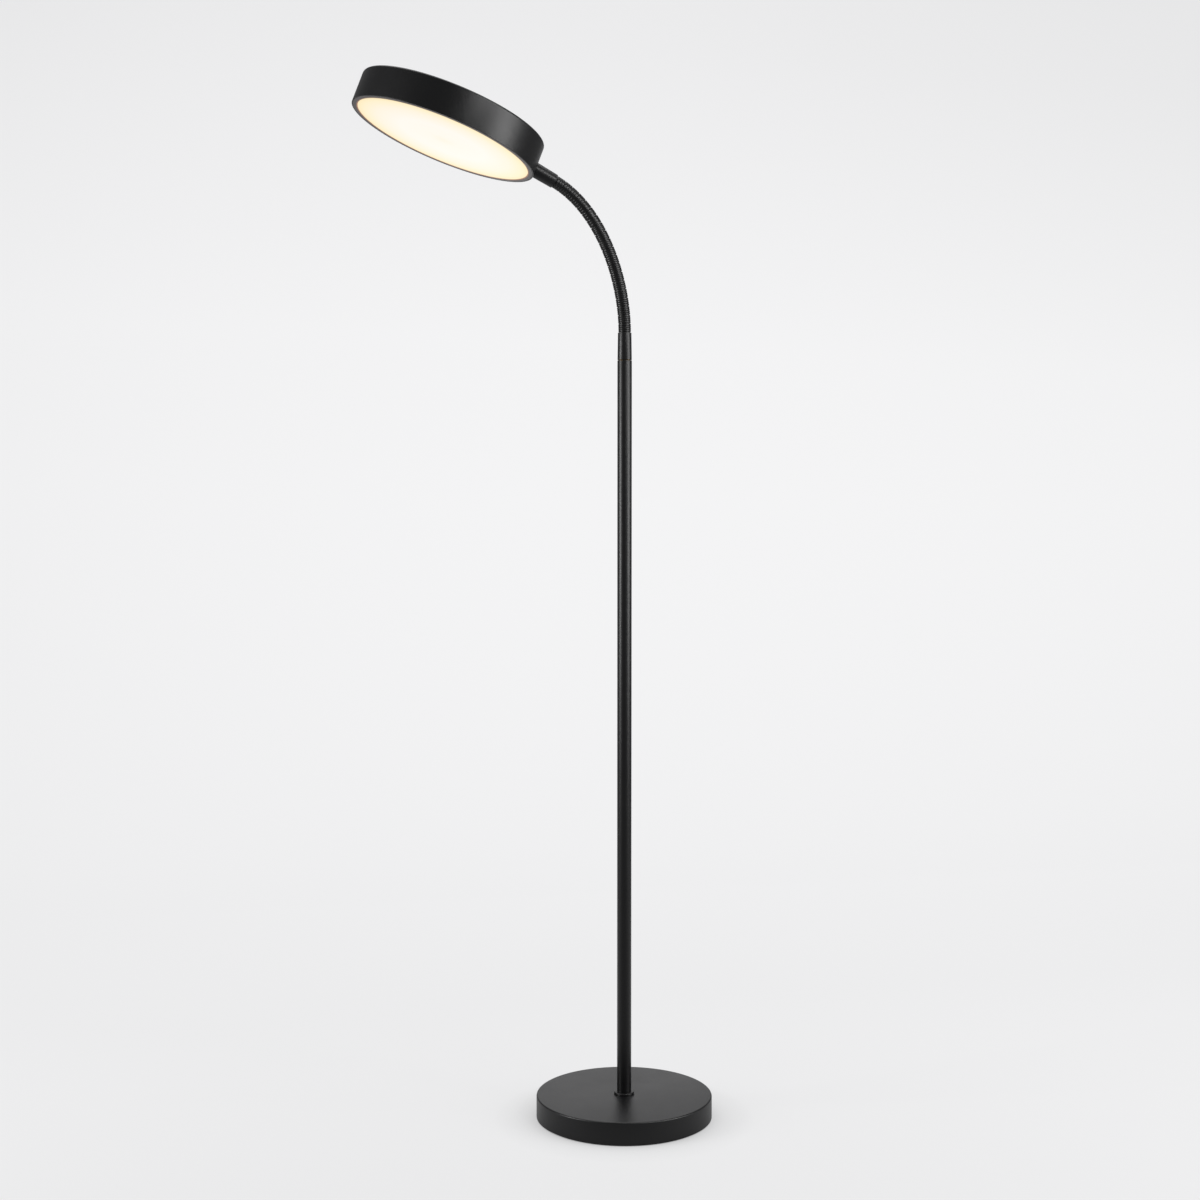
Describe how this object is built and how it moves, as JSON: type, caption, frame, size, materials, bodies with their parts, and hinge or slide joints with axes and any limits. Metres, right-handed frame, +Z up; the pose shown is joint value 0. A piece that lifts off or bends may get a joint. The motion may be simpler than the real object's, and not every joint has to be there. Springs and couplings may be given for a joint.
{
  "type": "gooseneck floor lamp",
  "caption": "Reading floor lamp with a weighted round base, slim straight pole, ribbed bending neck and a flat round light head with an opal diffuser.",
  "frame": {"origin": "on the floor, under the pole's centre line", "axes": "+Z up along the pole; the neck bends in the XZ plane and the head reaches towards -X; the cord gland faces +X"},
  "size_m": [0.4731, 0.246, 1.3655],
  "materials": {
    "black_powder_coat_steel": "satin fine-texture black powder coat on steel",
    "black_powder_coat_aluminium": "satin fine-texture black powder coat on spun aluminium",
    "neck_black": "satin black coated wire-wound steel",
    "bezel_grey": "satin dark grey",
    "opal_diffuser": "opal acrylic, lit warm white from behind",
    "cast_iron": "rough casting",
    "black_foam_rubber": "matte",
    "black_rubber": "matte moulded",
    "zinc_steel": "bright zinc plated",
    "lead_jacket": "matte black jacket",
    "plain_aluminium": "mill finish sheet",
    "white_board": "white solder mask on an aluminium core",
    "led_phosphor": "yellow phosphor over a white package",
    "driver_case": "moulded white plastic"
  },
  "bodies": {
    "stand": {"base_pad": "black_foam_rubber", "base_weight": "cast_iron", "base_cover": "black_powder_coat_steel", "cord_gland": "black_rubber", "foot_rod": "zinc_steel", "foot_nut": "zinc_steel", "foot_washer": "zinc_steel", "foot_spring_washer": "zinc_steel", "foot_collar": "black_powder_coat_steel", "pole_foot_insert": "zinc_steel", "pole_tube": "black_powder_coat_steel", "pole_top_insert": "zinc_steel", "ferrule_stud": "zinc_steel", "lower_ferrule": "black_powder_coat_steel", "pole_lead": "lead_jacket"},
    "neck_link_01": {"neck_link_01": "neck_black"},
    "neck_link_02": {"neck_link_02": "neck_black"},
    "neck_link_03": {"neck_link_03": "neck_black"},
    "neck_link_04": {"neck_link_04": "neck_black"},
    "neck_link_05": {"neck_link_05": "neck_black"},
    "neck_link_06": {"neck_link_06": "neck_black"},
    "neck_link_07": {"neck_link_07": "neck_black"},
    "neck_link_08": {"neck_link_08": "neck_black"},
    "neck_link_09": {"neck_link_09": "neck_black"},
    "neck_link_10": {"neck_link_10": "neck_black"},
    "neck_link_11": {"neck_link_11": "neck_black"},
    "neck_link_12": {"neck_link_12": "neck_black"},
    "neck_link_13": {"neck_link_13": "neck_black"},
    "neck_link_14": {"neck_link_14": "neck_black"},
    "neck_link_15": {"neck_link_15": "neck_black"},
    "neck_link_16": {"neck_link_16": "neck_black"},
    "neck_link_17": {"neck_link_17": "neck_black"},
    "neck_link_18": {"neck_link_18": "neck_black"},
    "neck_link_19": {"neck_link_19": "neck_black"},
    "neck_link_20": {"neck_link_20": "neck_black"},
    "head": {"upper_ferrule": "black_powder_coat_steel", "stud_washer": "zinc_steel", "stud_nut": "zinc_steel", "head_shell": "black_powder_coat_aluminium", "bezel_ring": "bezel_grey", "diffuser": "opal_diffuser", "carrier_plate": "plain_aluminium", "carrier_screws": "zinc_steel", "led_board": "white_board", "led_chips": "led_phosphor", "board_screws": "zinc_steel", "led_driver": "driver_case", "driver_screws": "zinc_steel", "driver_lead": "lead_jacket"}
  },
  "joints": [
    {"name": "neck_turn", "type": "hinge", "parent": "stand", "child": "neck_link_01", "pos_m": [0, 0, 1.0459], "axis": [0, 0, 1], "range_deg": [-180, 180]},
    {"name": "neck_bend_01", "type": "hinge", "parent": "neck_link_01", "child": "neck_link_02", "pos_m": [-0.00026, 0, 1.05702], "axis": [0, -1, 0], "range_deg": [-4.75, 4.75]},
    {"name": "neck_bend_02", "type": "hinge", "parent": "neck_link_02", "child": "neck_link_03", "pos_m": [-0.00102, 0, 1.06811], "axis": [0, -1, 0], "range_deg": [-4.75, 4.75]},
    {"name": "neck_bend_03", "type": "hinge", "parent": "neck_link_03", "child": "neck_link_04", "pos_m": [-0.00225, 0, 1.07916], "axis": [0, -1, 0], "range_deg": [-4.75, 4.75]},
    {"name": "neck_bend_04", "type": "hinge", "parent": "neck_link_04", "child": "neck_link_05", "pos_m": [-0.00394, 0, 1.09015], "axis": [0, -1, 0], "range_deg": [-4.75, 4.75]},
    {"name": "neck_bend_05", "type": "hinge", "parent": "neck_link_05", "child": "neck_link_06", "pos_m": [-0.00605, 0, 1.10107], "axis": [0, -1, 0], "range_deg": [-4.75, 4.75]},
    {"name": "neck_bend_06", "type": "hinge", "parent": "neck_link_06", "child": "neck_link_07", "pos_m": [-0.00859, 0, 1.11189], "axis": [0, -1, 0], "range_deg": [-4.75, 4.75]},
    {"name": "neck_bend_07", "type": "hinge", "parent": "neck_link_07", "child": "neck_link_08", "pos_m": [-0.01155, 0, 1.12261], "axis": [0, -1, 0], "range_deg": [-4.75, 4.75]},
    {"name": "neck_bend_08", "type": "hinge", "parent": "neck_link_08", "child": "neck_link_09", "pos_m": [-0.01493, 0, 1.1332], "axis": [0, -1, 0], "range_deg": [-4.75, 4.75]},
    {"name": "neck_bend_09", "type": "hinge", "parent": "neck_link_09", "child": "neck_link_10", "pos_m": [-0.01874, 0, 1.14365], "axis": [0, -1, 0], "range_deg": [-4.75, 4.75]},
    {"name": "neck_bend_10", "type": "hinge", "parent": "neck_link_10", "child": "neck_link_11", "pos_m": [-0.02298, 0, 1.15393], "axis": [0, -1, 0], "range_deg": [-4.75, 4.75]},
    {"name": "neck_bend_11", "type": "hinge", "parent": "neck_link_11", "child": "neck_link_12", "pos_m": [-0.02768, 0, 1.16401], "axis": [0, -1, 0], "range_deg": [-4.75, 4.75]},
    {"name": "neck_bend_12", "type": "hinge", "parent": "neck_link_12", "child": "neck_link_13", "pos_m": [-0.03285, 0, 1.17385], "axis": [0, -1, 0], "range_deg": [-4.75, 4.75]},
    {"name": "neck_bend_13", "type": "hinge", "parent": "neck_link_13", "child": "neck_link_14", "pos_m": [-0.03851, 0, 1.18342], "axis": [0, -1, 0], "range_deg": [-4.75, 4.75]},
    {"name": "neck_bend_14", "type": "hinge", "parent": "neck_link_14", "child": "neck_link_15", "pos_m": [-0.04468, 0, 1.19267], "axis": [0, -1, 0], "range_deg": [-4.75, 4.75]},
    {"name": "neck_bend_15", "type": "hinge", "parent": "neck_link_15", "child": "neck_link_16", "pos_m": [-0.05139, 0, 1.20153], "axis": [0, -1, 0], "range_deg": [-4.75, 4.75]},
    {"name": "neck_bend_16", "type": "hinge", "parent": "neck_link_16", "child": "neck_link_17", "pos_m": [-0.05866, 0, 1.20995], "axis": [0, -1, 0], "range_deg": [-4.75, 4.75]},
    {"name": "neck_bend_17", "type": "hinge", "parent": "neck_link_17", "child": "neck_link_18", "pos_m": [-0.0665, 0, 1.21783], "axis": [0, -1, 0], "range_deg": [-4.75, 4.75]},
    {"name": "neck_bend_18", "type": "hinge", "parent": "neck_link_18", "child": "neck_link_19", "pos_m": [-0.07491, 0, 1.2251], "axis": [0, -1, 0], "range_deg": [-4.75, 4.75]},
    {"name": "neck_bend_19", "type": "hinge", "parent": "neck_link_19", "child": "neck_link_20", "pos_m": [-0.0839, 0, 1.23164], "axis": [0, -1, 0], "range_deg": [-4.75, 4.75]},
    {"name": "head_turn", "type": "hinge", "parent": "neck_link_20", "child": "head", "pos_m": [-0.09344, 0, 1.23734], "axis": [-0.882, 0, 0.4713], "range_deg": [-180, 180]}
  ],
  "couplings": [
    {"joint": "head_turn", "follows": "neck_turn", "ratio": -1}
  ]
}
